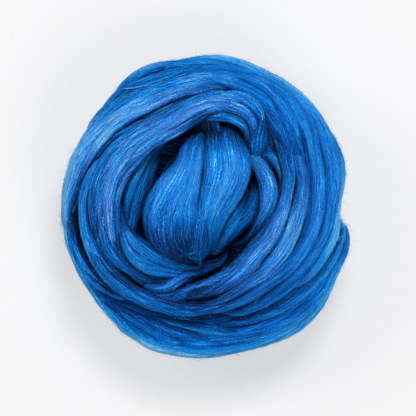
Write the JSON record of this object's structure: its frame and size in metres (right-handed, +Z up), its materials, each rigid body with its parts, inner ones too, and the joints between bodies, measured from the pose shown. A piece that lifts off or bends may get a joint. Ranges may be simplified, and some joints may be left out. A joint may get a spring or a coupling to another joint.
{
  "type": "wool roving",
  "caption": "Blue combed wool roving wound into a loose, slightly flattened ball of soft, streaked turns round an open, folded middle, for spinning or felting.",
  "frame": {"origin": "The middle of the ball's outline, on the flat foot it rests on.", "axes": "+Z is up. +X points to the right and +Y to the top of the picture, which looks straight down."},
  "size_m": [0.1464, 0.1526, 0.0777],
  "materials": {
    "dyed_wool": "soft combed wool fibre, faint satin sheen along the fibres, streaked in lighter and darker blue"
  },
  "bodies": {
    "root": {"wound_roving": "dyed_wool"}
  },
  "joints": []
}
